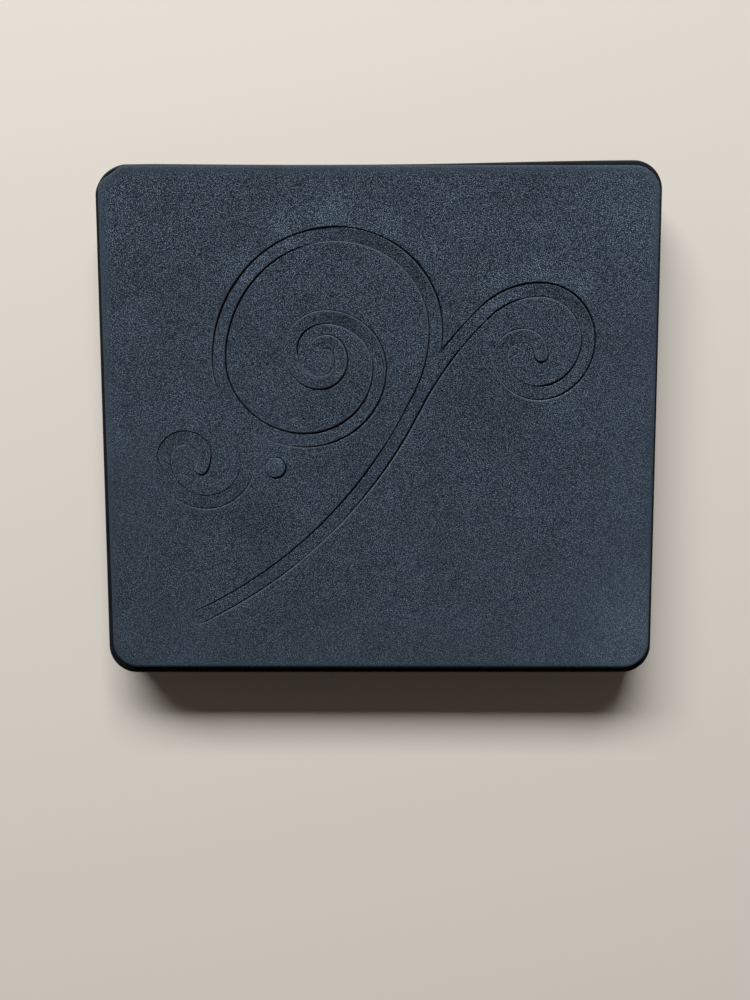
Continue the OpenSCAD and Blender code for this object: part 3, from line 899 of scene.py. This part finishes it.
strip_roll = lip_roll(scroll_gap, scroll_rise)
strip_rows = [moved_left(scroll, -scroll_gap - strip_roll * t) for t in roll_rows(1)[:-1]]
strip_middle = (1 * mm, 1.4 * mm, 1.8 * mm)
strip_rows += [moved_left(scroll, -t) for t in strip_middle]
strip_loose = spread(np.concatenate(strip_rows), least_gap)
beside, near = nearest(slit_tree, strip_loose)
strip_loose = strip_loose[(beside - slit_gap[near] > least_gap / 2) & in_strip(strip_loose)]
strip_sides = [moved_left(scroll, -d) for d in (scroll_gap, scroll_gap + hair, slit_half)]
strip_wall = slit_wall(*strip_sides, strip_height)
strip = foam_pad("foam_strip", [strip_wall], strip_loose, in_strip, strip_height)
strip.data.materials.append(foam)
note_place(strip)
spots = seen_from_above(strip)
beside, near = nearest(slit_tree, spots)
# Near a proud lip the strip gets a painted highlight.
lip = np.clip(slit_rise[near] / deep_step, 0, 1) * fade(beside - slit_gap[near], lip_reach)
note(strip, "lip", lip)
# Paler and darker patches: partly dust, partly painted light and shade, with a painted sheen to the right.
note(strip, "dust_and_shading", swell(spots, strip_dust_and_shading) + right_side_sheen * spots[:, 0] / foam_high.x)
note(strip, "skin", np.maximum(swell(spots, worn_skin), lip_skin * lip))
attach(strip, "die")
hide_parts("scroll_foam")
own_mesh(strip)


# The foam plug: a round of the same foam pushed into the dot's tube punch. It stands on the tray and its
# head swells out above the steel.
plug_low, plug_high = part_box("dot_foam")
plug_proud = 0.5 * mm
plug_roll = 0.4 * mm
plug_r = dot_edge_r - slit_half
head_gap = 0.08 * mm
head_r = dot_edge_r - head_gap
head_flare = 0.4 * mm
head_aside = Vector((-0.05 * mm, 0.05 * mm))
plug_top = plug_high.z + plug_proud
crown = 0.15 * mm
crown_r = 0.45 * head_r
crown_drop = 0.04 * mm
# The plug's head is painted paler all over: partly dust, partly painted light.
plug_dust_and_shading = 0.2
plug_skin = 0.35
plug_side = [(0, plug_low.z), (plug_r, plug_low.z), (plug_r, clear_z), (head_r, clear_z + head_flare)]
for a in [0, *roll_turns]:
    in_by = plug_roll * (1 - math.cos(a))
    down_by = crown + plug_roll * (1 - math.sin(a))
    plug_side.append((head_r - in_by, plug_top - down_by))
plug_side += [(crown_r, plug_top - crown_drop), (0, plug_top)]
mesh = bpy.data.meshes.new("foam_plug")
mesh.from_pydata([(dot_middle[0] + r, dot_middle[1], z) for r, z in plug_side],
                 [(i, i + 1) for i in range(len(plug_side) - 1)], [])
plug = take_up("foam_plug", mesh)
bpy.ops.object.mode_set(mode="EDIT")
bpy.ops.mesh.select_all(action="SELECT")
bpy.ops.mesh.spin(steps=48, angle=2 * math.pi, center=(*dot_middle, 0), axis=(0, 0, 1))
bpy.ops.mesh.select_all(action="SELECT")
bpy.ops.mesh.remove_doubles(threshold=foam_weld)
bpy.ops.mesh.normals_make_consistent(inside=False)
bpy.ops.object.mode_set(mode="OBJECT")
bpy.ops.object.shade_smooth_by_angle(angle=foam_smooth)
for v in plug.data.vertices:
    if v.co.z > clear_z + hair:
        v.co.xy += head_aside
plug.data.materials.append(foam)
note_place(plug)
note(plug, "dust_and_shading", np.full(len(plug.data.vertices), plug_dust_and_shading))
note(plug, "skin", np.full(len(plug.data.vertices), plug_skin))
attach(plug, "die")
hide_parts("dot_foam")
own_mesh(plug)


# The studio: a plain pale floor, a long soft lamp beyond the back edge like a wide window, and weak
# light from all round.
floor_w = 8
floor_colour = (0.62, 0.585, 0.53, 1)
bpy.ops.object.select_all(action="DESELECT")
bpy.ops.mesh.primitive_plane_add(size=floor_w)
floor = bpy.context.object
floor.name = "floor"
pale = new_finish("pale_floor", Base_Color=floor_colour, Roughness=0.8)
floor.data.materials.append(pale)
lamp_far = 2.0
lamp_high = math.radians(34.6)
lamp_left = 0.42
lamp_w = 2.1
lamp_h = 0.52
lamp_watts = 86
lamp_place = (-lamp_left, lamp_far * math.cos(lamp_high), lamp_far * math.sin(lamp_high))
bpy.ops.object.light_add(type="AREA", location=lamp_place)
lamp = bpy.context.object
lamp.rotation_euler = (lamp_high - math.pi / 2, 0, 0)
lamp.data.shape = "RECTANGLE"
lamp.data.size = lamp_w
lamp.data.size_y = lamp_h
lamp.data.energy = lamp_watts
sky_colour = (1.0, 0.85, 0.72, 1)
sky_strength = 0.075
world = bpy.data.worlds.new("studio")
bpy.context.scene.world = world
world.use_nodes = True
sky = world.node_tree.nodes["Background"]
sky.inputs["Color"].default_value = sky_colour
sky.inputs["Strength"].default_value = sky_strength


# The camera: held over the die, almost straight above its middle, looking down and tipped by a few
# degrees.
camera_place = (0.43 * mm, -4.88 * mm, 219.4 * mm)
camera_turn = (math.radians(-4.44), math.radians(0.4), math.radians(-0.14))
camera_lens = 27.04
camera_nearest = 10 * mm
bpy.ops.object.camera_add(location=camera_place, rotation=camera_turn)
camera = bpy.context.object
camera.data.lens = camera_lens
camera.data.clip_start = camera_nearest
bpy.context.scene.camera = camera
bpy.context.scene.view_settings.view_transform = "Standard"
